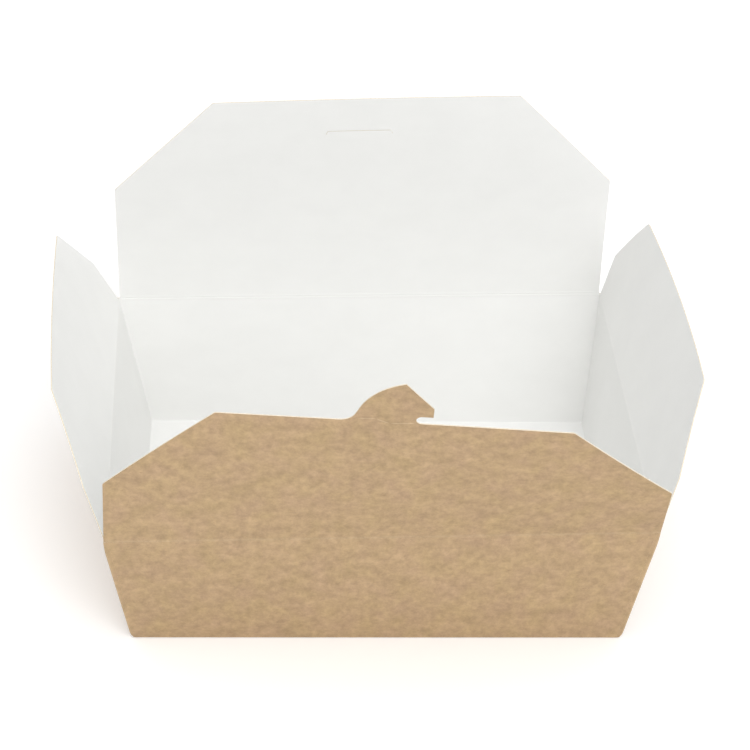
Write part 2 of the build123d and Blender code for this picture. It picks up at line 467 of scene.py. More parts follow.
def inside_outline(points: Array, outline: Array) -> Array:
    """Tests which points lie inside a closed outline.

    Args:
        points: Points, one a row.
        outline: Corners of the outline in order.

    Returns:
        True for each point inside.
    """
    x, y = points[:, 0][:, None], points[:, 1][:, None]
    a, b = outline, np.roll(outline, -1, axis=0)
    crosses = (a[:, 1] > y) != (b[:, 1] > y)
    with np.errstate(divide="ignore", invalid="ignore"):
        at = a[:, 0] + (y - a[:, 1]) * (b[:, 0] - a[:, 0]) / (b[:, 1] - a[:, 1])
    return (np.sum(crosses & (x < at), axis=1) % 2).astype(bool)


def outline_distance(points: Array, outline: Array) -> Array:
    """Distance of points from a closed outline.

    Args:
        points: Points, one a row.
        outline: Corners of the outline in order.

    Returns:
        Shortest distance of each point.
    """
    a, b = outline, np.roll(outline, -1, axis=0)
    d = b - a
    share = np.clip(np.sum((points[:, None] - a) * d, 2) / np.maximum(np.sum(d * d, 1), TINY), 0, 1)
    return np.min(np.linalg.norm(points[:, None] - (a + share[:, :, None] * d), axis=2), axis=1)


def arc_points(start: Point, middle: Point, end: Point, count: int) -> list[Point]:
    """Points of the arc through three points.

    Args:
        start: First point.
        middle: A point on the arc.
        end: Last point.
        count: Number of steps.

    Returns:
        The points, ends included.
    """
    (ax, ay), (bx, by), (cx, cy) = start, middle, end
    d = 2 * (ax * (by - cy) + bx * (cy - ay) + cx * (ay - by))
    a2, b2, c2 = ax * ax + ay * ay, bx * bx + by * by, cx * cx + cy * cy
    ux = (a2 * (by - cy) + b2 * (cy - ay) + c2 * (ay - by)) / d
    uy = (a2 * (cx - bx) + b2 * (ax - cx) + c2 * (bx - ax)) / d
    radius = math.hypot(ax - ux, ay - uy)
    t0, tm, t1 = (math.atan2(y - uy, x - ux) for x, y in (start, middle, end))
    turn = (t1 - t0) % math.tau
    if (tm - t0) % math.tau > turn:
        turn -= math.tau
    turns = [t0 + turn * i / count for i in range(count + 1)]
    return [(ux + radius * math.cos(t), uy + radius * math.sin(t)) for t in turns]


def rounded(before: Point, corner: Point, after: Point, radius: float, count: int = 6) -> list[Point]:
    """Rounds one corner of an outline.

    Args:
        before: Point before the corner.
        corner: The sharp corner.
        after: Point after the corner.
        radius: Radius of the round.
        count: Number of steps.

    Returns:
        Points of the round, from the first tangent point to the second.
    """
    at = Vector(corner)
    one, two = (Vector(before) - at).normalized(), (Vector(after) - at).normalized()
    half = one.angle(two) / 2
    centre = at + (one + two).normalized() * radius / math.sin(half)
    reach = radius / math.tan(half)
    near = centre + (at - centre).normalized() * radius
    return arc_points(tuple(at + one * reach), tuple(near), tuple(at + two * reach), count)


def spaced(outline: Sequence[Point], step: float) -> Array:
    """Adds points along the long straights of a closed outline.

    Args:
        outline: Corners in order.
        step: Longest distance left between neighbours.

    Returns:
        The outline with its added points.
    """
    made: list[Array] = []
    for a, b in zip(outline, list(outline[1:]) + [outline[0]]):
        a, b = np.array(a), np.array(b)
        count = max(1, math.ceil(float(np.linalg.norm(b - a)) / step - ROUNDING))
        made += [a + (b - a) * i / count for i in range(count)]
    return np.array(made)


def slot_outline(path: Sequence[Point], width: float) -> list[Point]:
    """Outline of a narrow slot cut along a path.

    Args:
        path: Points of the slot's middle line.
        width: Width of the slot.

    Returns:
        Closed outline of the slot.
    """
    line = [Vector(p) for p in path]
    ways = [(b - a).normalized() for a, b in zip(line, line[1:])]
    left: list[Point] = []
    right: list[Point] = []
    for p, before, after in zip(line, ways[:1] + ways, ways + ways[-1:]):
        way = (before + after).normalized()
        side = Vector((-way.y, way.x)) * width / 2 / way.dot(before)
        left.append(tuple(p + side))
        right.append(tuple(p - side))
    return left + right[::-1]


def grid_faces(rows: int, points: int, closed: bool) -> list[Polygon]:
    """Faces of a grid of points that are numbered row by row.

    Args:
        rows: Number of rows.
        points: Number of points in a row.
        closed: Whether each row is a ring.

    Returns:
        The faces.
    """
    made: list[Polygon] = []
    for r in range(0, (rows - 1) * points, points):
        for k in range(points if closed else points - 1):
            n = (k + 1) % points
            made.append((r + k, r + n, r + points + n, r + points + k))
    return made


def band(one: list[int], two: list[int]) -> list[Polygon]:
    """Faces of the band between two closed loops of points."""
    return [(one[k - 1], two[k - 1], two[k], one[k]) for k in range(len(one))]


def both_sides(near: list[Polygon], count: int) -> list[Polygon]:
    """Near faces of a sheet, each with its twin on the far side, whose numbers run on by the count."""
    return [face for f in near for face in (f, tuple(i + count for i in f[::-1]))]


def turned_over(faces: list[Polygon], over: bool) -> list[Polygon]:
    """The same faces, each turned over if asked."""
    return [f[::-1] for f in faces] if over else faces


@dataclass
class Flap:
    """A flap on one rim fold: an outline of board that leans, twists and bows as it stands open.

    Attributes:
        board: The sheet that it is cut from.
        name: Name of the CAD node.
        joint: Name of the joint at its fold.
        side: Side of the box.
        lean: Outward lean at the end of the fold that leans further, in degrees.
        least_lean: Lean at the other end of the fold.
        leans_most_at: 1 or -1, the end of the fold that leans further.
        bow: How far the middle of the free edge stands out.
        sway: How far the free edge curls outward over its whole width, inward if negative.
        evenness: Share by which the twist runs evenly along the fold, so that the free edge is straight.
        blank_start: Distance of the fold from the middle of the flat blank.
        fold_overrun: How far the fold's roll runs past each side of the flap.
        side_length: Distance from the fold to where the corners are cut off.
        side_inset: How far each side slopes in by there.
        tip_width: Width of the free edge between the cut-off corners.
        length: Distance from the fold to the free edge.
        corner: Radius of the rounded corners.
        fold: Middle of the fold, in the frame.
        closing: Turn that shuts the flap, in degrees.
        half: Half the length of the fold.
        sag: How far the shut flap lies below level, in degrees.
        first_share: Where the end that leans least lies on the smooth rise.
    """

    board: Board
    name: str
    joint: str
    side: Side
    lean: float
    least_lean: float
    leans_most_at: int = 1
    bow: float = 0.0
    sway: float = 0.0
    evenness: float = 0.0
    blank_start: float = 0.0
    fold_overrun: float = 0.3 * MM
    side_length: float = 0.0
    side_inset: float = 0.0
    tip_width: float = 0.0
    length: float = 0.0
    corner: float = 1.5 * MM
    fold: Array = field(init=False)
    closing: float = field(init=False)
    half: float = field(init=False)
    sag: float = field(init=False)
    first_share: float = field(init=False)

    def __post_init__(self) -> None:
        """Reads the fold's place and closing turn from the frame."""
        found = next(j for j in frame["joints"] if j["name"] == self.joint)
        low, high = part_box(self.name)
        self.fold = np.array(found["pos_m"], float)
        self.closing = -float(found["range_deg"][0])
        self.half = float(np.dot(np.array(high - low), self.side.along)) / 2
        self.sag = self.closing - 90 - self.lean
        self.first_share = inverse_smooth_step((90 + self.least_lean + self.sag) / self.closing)

    def outline(self) -> list[Point]:
        """Outline of the flap: its two sides, with the corners of the free edge cut off.

        Returns:
            Points along the fold and away from it, from one end of the fold to the other.
        """
        shoulder = (self.half - self.side_inset, self.side_length)
        right = [(self.half, 0.0), shoulder, (self.tip_width / 2, self.length)]
        sharp = right + [(-x, y) for x, y in right[::-1]]
        made = sharp[:1]
        for before, corner, after in zip(sharp, sharp[1:], sharp[2:]):
            made += rounded(before, corner, after, self.corner)
        return made + sharp[-1:]

    def holes(self) -> list[list[Point]]:
        """Outlines of the slots cut through the flap."""
        return []

    def grooves(self) -> list[list[Point]]:
        """Middle lines of the grooves cut into the kraft face only."""
        return []

    @property
    def reach(self) -> float:
        """Length of the flap from its fold."""
        return max(p[1] for p in self.outline())

    def share_along(self, along: Array) -> Array:
        """Share of the fold's length from the end that leans least, at places along the fold."""
        return (self.half + self.leans_most_at * along) / (2 * self.half)

    def lean_at(self, along: Array) -> Array:
        """Lean of the flap in radians, at places along its fold."""
        weight = smooth_step(self.first_share + (1 - self.first_share) * self.share_along(along))
        return np.radians(weight * self.closing - 90 - self.sag)

    def middle(self, flat: Array) -> Array:
        """Places of flat points on the standing flap, in the middle of the board.

        Args:
            flat: Points along the fold and away from it.

        Returns:
            Points in the frame.
        """
        along, away = flat[:, 0], flat[:, 1]
        lean = self.lean_at(along)
        rise = np.cos(lean)[:, None] * UP + np.sin(lean)[:, None] * self.side.out
        inward = np.sin(lean)[:, None] * UP - np.cos(lean)[:, None] * self.side.out
        share = np.clip(away / self.reach, 0, None)
        belly = (self.bow * (1 - (along / self.half) ** 2) + self.sway) * share**2
        even = np.radians(self.least_lean + (self.lean - self.least_lean) * self.share_along(along))
        pressed = self.board.dip(away, self.side) - belly + self.evenness * away * np.tan(lean - even)
        place = self.fold + along[:, None] * self.side.along
        return place + away[:, None] * rise + pressed[:, None] * inward

    def normals(self, flat: Array) -> tuple[Array, Array, Array]:
        """Directions of the sheet at flat points.

        Args:
            flat: Points along the fold and away from it.

        Returns:
            Direction along the fold, direction away from it, and the unit normal that faces into the box.
        """
        tiny = 0.01 * MM
        ahead = np.array([tiny, 0.0]), np.array([0.0, tiny])
        u, v = ((self.middle(flat + d) - self.middle(flat - d)) / (2 * tiny) for d in ahead)
        normal = unit(np.cross(u, v))
        return u, v, normal * np.sign(np.sum(normal * -self.side.out, 1) + TINY)[:, None]

    def flat_sheet(self) -> tuple[Array, list[Polygon], list[list[int]], list[int]]:
        """Cuts the flat sheet into triangles.

        Returns:
            Flat points, triangles, the closed loops of the cut edges, and the points on the groove bottoms.
        """
        step = self.board.step
        edge = spaced(self.outline(), step)
        cuts = [spaced(hole, step) for hole in self.holes()]
        fine = step / self.board.groove_steps
        scores = [spaced(slot_outline(path, self.board.groove), fine) for path in self.grooves()]
        bottoms = [spaced(path, fine)[1 : math.ceil(math.dist(*path) / fine)] for path in self.grooves()]
        columns = np.linspace(-self.half, self.half, math.ceil(2 * self.half / step) + 1)[1:-1]
        rows = [r for r in self.board.crease_rows if r > 0]
        crease = np.array([(x, r) for r in rows for x in columns])
        lines = np.arange(rows[-1] + step, self.reach, step)
        # Every other line is shifted, so that the triangles are about even
        grid = np.array([(x + (i % 2 - 0.5) * step / 2, y) for i, y in enumerate(lines) for x in columns])
        near_edge, near_cut = self.board.edge_clearance * step, self.board.cut_clearance * step
        keep = inside_outline(grid, edge) & (outline_distance(grid, edge) > near_edge)
        for cut in cuts + scores:
            keep &= ~inside_outline(grid, cut) & (outline_distance(grid, cut) > near_cut)
        rings = [edge] + cuts + scores
        numbers, start = [], 0
        for line in rings + bottoms:
            numbers.append(list(range(start, start + len(line))))
            start += len(line)
        loops, floors = numbers[: len(rings)], numbers[len(rings) :]
        borders = [(a, b) for loop in loops for a, b in zip(loop, loop[1:] + loop[:1])]
        borders += [(a, b) for floor in floors for a, b in zip(floor, floor[1:])]
        everything = np.vstack(rings + bottoms + [crease, grid[keep]])
        scaled = [Vector(p / MM) for p in everything]
        # The whole hull is filled here, and what lies outside the outline or in a cut is left out below
        whole_hull, merged_mm = 0, 1e-5
        verts, _, triangles, origins, _, _ = delaunay_2d_cdt(scaled, borders, [], whole_hull, merged_mm)
        back = {o: i for i, origin in enumerate(origins) for o in origin}
        flat = np.array([tuple(v) for v in verts]) * MM
        centres = np.array([flat[list(t)].mean(0) for t in triangles])
        keep = inside_outline(centres, edge)
        for cut in cuts:
            keep &= ~inside_outline(centres, cut)
        edges = [[back[i] for i in loop] for loop in loops[: 1 + len(cuts)]]
        pressed = [back[i] for floor in floors for i in floor]
        return flat, [tuple(t) for t, k in zip(triangles, keep) if k], edges, pressed

    def on_blank(self, flat: Array) -> Array:
        """Places of flat points on the blank that the box is cut from, in metres."""
        away = (self.blank_start + flat[:, 1])[:, None] * self.side.out[:2]
        return flat[:, :1] * self.side.along[:2] + away

    def build(self) -> None:
        """Builds the flap as a sheet with two faces and cut edges."""
        flat, triangles, loops, pressed = self.flat_sheet()
        middle = self.middle(flat)
        u, v, normal = self.normals(flat)
        count = len(flat)
        depth = np.full((count, 1), self.board.thickness / 2)
        near = middle + normal * depth
        depth[pressed] -= self.board.groove_depth
        far = middle - normal * depth
        facing = 1 if np.dot(np.cross(u[0], v[0]), normal[0]) > 0 else -1
        lining: list[Polygon] = []
        for a, b, c in triangles:
            one, two = flat[b] - flat[a], flat[c] - flat[a]
            turn = one[0] * two[1] - one[1] * two[0]
            lining.append((a, b, c) if turn * facing > 0 else (a, c, b))
        faces = both_sides(lining, count)
        slots = [Face.LINING, Face.KRAFT] * len(lining)
        places, every_flat = [near, far], [flat, flat]
        first = 2 * count
        for loop in loops:
            ring = flat[loop]
            ahead = unit(np.roll(ring, -1, axis=0) - np.roll(ring, 1, axis=0))
            area = np.sum(ring[:, 0] * np.roll(ring[:, 1], -1) - np.roll(ring[:, 0], -1) * ring[:, 1])
            # The loops after the first are holes
            way = np.sign(area) * (1 if loop is loops[0] else -1)
            outward = (ahead[:, 1:] * u[loop] - ahead[:, :1] * v[loop]) * way
            places.append(middle[loop] + outward * self.board.edge_bulge)
            every_flat.append(ring)
            rim = list(range(first, first + len(loop)))
            first += len(loop)
            edge = band(loop, rim) + band(rim, [i + count for i in loop])
            faces += turned_over(edge, way * facing < 0)
            slots += [Face.EDGE] * len(edge)
        cut_flat = np.vstack(every_flat)
        worn = self.board.wear(cut_flat[:, 1])
        worn[[i + count for i in pressed]] = self.board.groove_bareness
        name, blank = f"{self.name}_board", self.on_blank(cut_flat)
        made = self.board.mesh_object(name, np.vstack(places), faces, slots, blank, worn)
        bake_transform(made)
        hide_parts(self.name)


@dataclass
class LidFlap(Flap):
    """Rear lid: a rectangle with two corners cut off, and the locking slit near its free edge."""

    sway: float = -8.5 * MM
    side_length: float = 57.0 * MM
    tip_width: float = 128.0 * MM
    length: float = 99.98 * MM
    slit_to_edge: float = 15.8 * MM
    slit_start: float = -16.2 * MM
    slit_length: float = 26.5 * MM
    slit_width: float = 0.16 * MM
    slit_hook: float = 1.6 * MM

    def holes(self) -> list[list[Point]]:
        """The locking slit, with a short hook at each end that stops it tearing.

        Returns:
            The outline of the slit.
        """
        y = self.length - self.slit_to_edge
        a, b, hook = self.slit_start, self.slit_start + self.slit_length, self.slit_hook
        path = [(a - hook / 2, y - hook), (a, y), (b, y), (b + hook / 2, y - hook)]
        return [slot_outline(path, self.slit_width)]


@dataclass
class FrontFlap(Flap):
    """Front flap with the hooked locking tab on its free edge.

    Its sides widen a little to the ends of the fold. The half-cuts at the tab's root are given by their
    ends, in millimetres from the middle of the free edge.
    """

    evenness: float = 1.0
    fold_overrun: float = 1.3 * MM
    side_length: float = 34.0 * MM
    tip_width: float = 128.0 * MM
    length: float = 76.5 * MM
    tab_neck: float = 22.0 * MM
    tab_height: float = 23.3 * MM
    tab_tip_share: float = 0.79
    tab_barb: float = 6.0 * MM
    barb_share: float = 0.41
    tab_offset: float = -3.6 * MM
    tab_foot: float = 5.3 * MM
    tab_foot_radius: float = 6.0 * MM
    tab_foot_turn: float = 69.0
    tab_straight: float = 4.5 * MM
    notch: float = 4.4 * MM
    crease_cuts: tuple[tuple[float, float, float, float], ...] = (
        (-13.0, 1.4, -6.9, 1.6),
        (-6.5, 1.5, -2.1, -0.7),
        (-1.5, -0.75, 7.0, 0.2),
    )
    curve_steps: tuple[int, int] = (10, 18)

    def outline(self) -> list[Point]:
        """Outline of the flap: cut-off corners, then the tab's curved side, barb and round-ended notch.

        Returns:
            Points along the fold and away from it, from one end of the fold to the other.
        """
        w, t, top = self.half, self.tip_width / 2, self.length
        left, right = self.tab_offset - self.tab_neck / 2, self.tab_offset + self.tab_neck / 2
        apex = (left + self.tab_tip_share * self.tab_neck, top + self.tab_height)
        inner, barb = right + self.notch / 2, right + self.tab_barb
        root = w + self.fold_overrun
        few, many = self.curve_steps
        made: list[Point] = [(root, 0.0)]
        made += rounded((root, 0.0), (w, self.side_length), (t, top), self.corner)
        made += rounded((w, self.side_length), (t, top), (inner, top), self.corner)
        made += arc_points((inner, top), (right, top + self.notch / 2), (inner, top + self.notch), few)
        made += [(barb, top + self.notch), (barb, top + self.barb_share * self.tab_height), apex]
        foot_x, r, turn = left - self.tab_foot, self.tab_foot_radius, math.radians(self.tab_foot_turn)
        turns = [turn * k / few for k in range(few, -1, -1)]
        foot = [(foot_x + r * math.sin(a), top + r * (1 - math.cos(a))) for a in turns]
        shoulder = Vector(foot[0]) + Vector((math.cos(turn), math.sin(turn))) * self.tab_straight
        chord = Vector(apex) - shoulder
        sagitta = chord.length / 2 * math.tan((turn - math.atan2(chord.y, chord.x)) / 2)
        bulge = shoulder + chord / 2 + Vector((-chord.y, chord.x)).normalized() * sagitta
        made += arc_points(apex, tuple(bulge), tuple(shoulder), many)[1:] + foot
        made += rounded(foot[-1], (-t, top), (-w, self.side_length), self.corner)
        made += rounded((-t, top), (-w, self.side_length), (-root, 0.0), self.corner)
        return made + [(-root, 0.0)]

    def grooves(self) -> list[list[Point]]:
        """Short half-cuts across the tab's root, sloping in the middle, that let it bend into the slit."""
        ends = [((x0, y0), (x1, y1)) for x0, y0, x1, y1 in self.crease_cuts]
        return [[(x * MM, self.length + y * MM) for x, y in pair] for pair in ends]


@dataclass
class EndFlap(Flap):
    """Plain end flap, narrowing from its fold to its free edge."""

    side_length: float = 25.0 * MM
    side_inset: float = 5.0 * MM
    tip_width: float = 106.0 * MM
    length: float = 57.0 * MM


class Section(NamedTuple):
    """Rows of the sheet from the base's middle to a rim: distance out, up, over the blank, to the rim."""

    out: Array
    up: Array
    over: Array
    left: Array


@dataclass
class Tray:
    """Base and four flared walls folded from one sheet, with glued webs at the corners."""

    board: Board
    folds: dict[Side, Array]
    base_width: float = 197.0 * MM
    base_depth: float = 140.0 * MM
    corner_radius: float = 0.45 * MM
    corner_share: float = 0.3
    long_bulge: float = 0.7 * MM
    rack: float = -1.7
    rack_pivot: float = -70.0 * MM
    wall_rows: int = 18
    base_rows: int = 14
    base_start: float = 0.04
    base_spread: float = 0.8
    arc_rows: int = 6
    arc_row_step: float = 0.5 * MM
    corner_steps: int = 5
    slope_passes: int = 6

    def racked(self, places: Array) -> Array:
        """Turns the foot of the tray a little under its rim, as thin board stands when it is handled.

        Args:
            places: Points of the square tray.

        Returns:
            The same points, turned most at the floor and not at all at the rim.
        """
        rim = min(float(fold[2]) for fold in self.folds.values())
        turn = math.radians(self.rack) * np.clip(1 - places[..., 2] / rim, 0, 1)
        x, y = places[..., 0], places[..., 1] - self.rack_pivot
        moved = np.array(places)
        moved[..., 0] = np.cos(turn) * x - np.sin(turn) * y
        moved[..., 1] = np.sin(turn) * x + np.cos(turn) * y + self.rack_pivot
        return moved

    def half_base(self, side: Side) -> float:
        """Half the base's outside size towards a side."""
        return (self.base_depth if side.is_long else self.base_width) / 2

    def steps(self, side: Side) -> int:
        """Number of steps along a side of a ring."""
        return round(2 * self.half_base(side.turned(1)) / self.board.step)

    def slope(self, side: Side) -> float:
        """Angle of a wall from upright, found from its fold.

        Args:
            side: Side of the box.

        Returns:
            Angle in radians.
        """
        fold = self.folds[side]
        run = abs(float(np.dot(fold, side.out))) - self.half_base(side)
        angle = math.atan2(run, float(fold[2]))
        # The fold lies in the middle of the board, which depends on the angle, so it is found step by step
        for _ in range(self.slope_passes):
            angle = math.atan2(run + self.board.thickness / 2 / math.cos(angle), float(fold[2]))
        return angle

    def profile(self, side: Side) -> Section:
        """Section of the sheet from the middle of the base out to a rim fold.

        Args:
            side: Side of the box.

        Returns:
            The section, row by row.
        """
        half = self.board.thickness / 2
        radius = self.board.fold_radius - half
        angle = self.slope(side)
        fold_out, fold_up = abs(float(np.dot(self.folds[side], side.out))), float(self.folds[side][2])
        centre_up = half + radius
        on_wall = fold_out - math.tan(angle) * (fold_up - centre_up)
        centre_out = on_wall - radius / math.cos(angle)
        base = np.linspace(self.base_start, 1.0, self.base_rows) ** self.base_spread * centre_out
        turn = np.linspace(0, math.pi / 2 - angle, self.arc_rows)[1:]
        arc_out, arc_up = centre_out + radius * np.sin(turn), centre_up - radius * np.cos(turn)
        length = math.hypot(fold_out - arc_out[-1], fold_up - arc_up[-1])
        near = np.array(self.board.crease_rows[::-1])
        far = np.linspace(0, length - near[0], self.wall_rows)[1:-1]
        along = np.concatenate([far, length - near])
        wall_out, wall_up = arc_out[-1] + along * math.sin(angle), arc_up[-1] + along * math.cos(angle)
        return Section(
            np.concatenate([base, arc_out, wall_out]),
            np.concatenate([np.full(len(base), half), arc_up, wall_up]),
            np.concatenate([base, centre_out + radius * turn, centre_out + radius * turn[-1] + along]),
            np.concatenate([np.full(len(base) + len(turn), length), length - along]),
        )

    def ring(self, sections: dict[Side, Section], row: int) -> list[Array]:
        """One closed ring of the sheet.

        Args:
            sections: Section of each side.
            row: Row of the section.

        Returns:
            Places, blank places, distances from the rim fold, and bulge shares of the ring's points.
        """
        at = {s: Section(*(float(v[row]) for v in section)) for s, section in sections.items()}
        round_off = min(self.corner_radius, self.corner_share * min(s.out for s in at.values()))
        made: list[tuple[Array, Array, float, float]] = []
        for side in Side:
            ahead = side.turned(1)
            here, there = at[side], at[ahead]
            first, last = round_off - at[side.turned(-1)].out, there.out - round_off
            for share in np.arange(self.steps(side) + 1) / self.steps(side):
                travel = ahead.out * (first + (last - first) * share)
                place = side.out * here.out + travel + UP * here.up
                bulge = math.sin(math.pi * share) if side.is_long else 0.0
                made.append((place, (side.out * here.over + travel)[:2], here.left, bulge))
            middle = side.out * (here.out - round_off) + ahead.out * (there.out - round_off)
            for share in np.arange(1, self.corner_steps) / self.corner_steps:
                turn = share * math.pi / 2
                arc = (math.cos(turn) * side.out + math.sin(turn) * ahead.out) * round_off
                mixed = Section(*(a + (b - a) * share for a, b in zip(here, there)))
                over = side.out * here.over * (1 - share) + ahead.out * there.over * share
                made.append((middle + arc + UP * mixed.up, (over + middle / 2)[:2], mixed.left, 0.0))
        return [np.array(column) for column in zip(*made)]

    def build_shell(self) -> None:
        """Builds the base and walls as one sheet with two faces."""
        sections = {side: self.profile(side) for side in Side}
        rows = len(sections[Side.FRONT].out)
        rings = zip(*(self.ring(sections, row) for row in range(rows)))
        middle, blank, rim, bulge = (np.array(column) for column in rings)
        wall_start = self.base_rows + self.arc_rows - 2
        on_wall = (np.arange(rows) > wall_start)[:, None]
        wall_share = np.clip(1 - rim / rim[wall_start], 0, 1)
        swell = self.long_bulge * bulge * np.sin(math.pi * wall_share) * on_wall
        middle = middle - self.sheet_normals(middle) * swell[:, :, None]
        sides = np.repeat(range(len(Side)), [self.steps(side) + self.corner_steps for side in Side])
        pressed = np.choose(sides, [self.board.dip(rim, side) for side in Side]) * on_wall
        middle = middle + self.sheet_normals(middle) * pressed[:, :, None]
        inward = self.sheet_normals(middle) * self.board.thickness / 2
        places = np.array([self.racked(middle + inward), self.racked(middle - inward)])
        around = middle.shape[1]
        count = rows * around
        lining = turned_over(grid_faces(rows, around, closed=True), True) + [tuple(range(around))]
        faces = both_sides(lining, count)
        top = list(range(count - around, count))
        faces += turned_over(band(top, [i + count for i in top]), True)
        slots = [Face.LINING, Face.KRAFT] * len(lining) + [Face.EDGE] * around
        base_fold = self.base_rows + self.arc_rows / 2 - 1
        from_fold = np.abs(np.arange(rows) - base_fold) * self.arc_row_step
        worn = np.maximum(self.board.wear(rim), self.board.wear(from_fold)[:, None])
        two = np.array([blank] * 2), np.array([worn] * 2)
        made = self.board.mesh_object("tray_board", places, faces, slots, *two)
        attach(made, "tray")
        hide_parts("tray")

    @staticmethod
    def sheet_normals(middle: Array) -> Array:
        """Unit normals of a ringed sheet, facing into the box.

        Args:
            middle: Places by row and ring point.

        Returns:
            Normals of the same shape.
        """
        around = np.roll(middle, -1, axis=1) - np.roll(middle, 1, axis=1)
        normal = unit(np.cross(np.gradient(middle, axis=0), around))
        return normal * np.sign(normal[0, :1, 2:3])


@dataclass
class CreaseRoll:
    """The rounded fold at a rim: kraft on its outer half and lining on its inner half.

    It is a little thinner than the board, by its slack, so that it stays inside both panels.
    """

    flap: Flap
    steps: int = 20
    length_steps: int = 40
    slack: float = 0.004 * MM
    blank_out: float = 100.0 * MM
    worn: float = 0.5

    def build(self) -> None:
        """Builds the roll along the fold."""
        side, board = self.flap.side, self.flap.board
        radius, half = board.thickness / 2 - self.slack, self.flap.half + self.flap.fold_overrun
        along = np.linspace(-half, half, self.length_steps + 1)[:, None, None] * side.along
        turn = math.tau * np.arange(self.steps)[:, None] / self.steps
        places = self.flap.fold + along + (np.sin(turn) * side.out + np.cos(turn) * UP) * radius
        blank = (along + (self.blank_out + radius * turn) * side.out)[..., :2]
        faces = grid_faces(self.length_steps + 1, self.steps, closed=True)
        end = tuple(range(self.steps))
        faces += [end[::-1], tuple(i + self.length_steps * self.steps for i in end)]
        over = float(np.dot(np.cross(side.along, side.out), UP)) > 0
        halves = [Face.KRAFT] * (self.steps // 2) + [Face.LINING] * (self.steps // 2)
        slots = halves * self.length_steps + [Face.EDGE] * 2
        worn = np.full(places.shape[:2], self.worn)
        made = board.mesh_object(f"{side.word}_crease", places, turned_over(faces, over), slots, blank, worn)
        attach(made, "tray")


